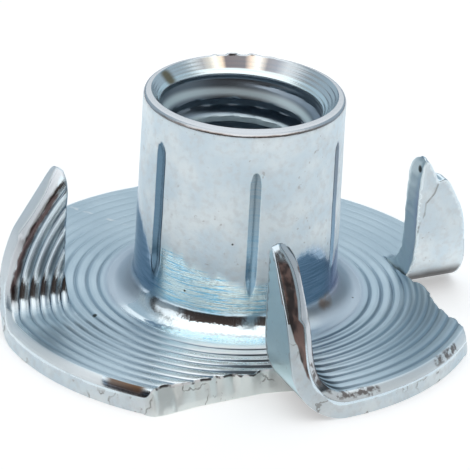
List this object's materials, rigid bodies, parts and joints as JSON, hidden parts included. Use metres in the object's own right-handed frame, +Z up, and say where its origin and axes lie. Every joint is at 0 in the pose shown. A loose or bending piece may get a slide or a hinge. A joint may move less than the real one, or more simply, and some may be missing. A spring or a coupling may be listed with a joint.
{
  "type": "tee nut",
  "caption": "Pressed steel tee nut: round ringed flange with upturned prongs and a fluted, threaded barrel that is pulled into wood.",
  "frame": {"origin": "centre of the flange's flat underside, on the axis of the thread", "axes": "+Z up the barrel along the thread, away from the flange; +X and +Y in the plane of the flange's underside"},
  "size_m": [0.0182, 0.0182, 0.0092],
  "materials": {
    "zinc_plated_steel": "bright blue-passivated zinc plating with turned rings on the flange"
  },
  "bodies": {
    "root": {"tee_nut": "zinc_plated_steel"}
  },
  "joints": []
}
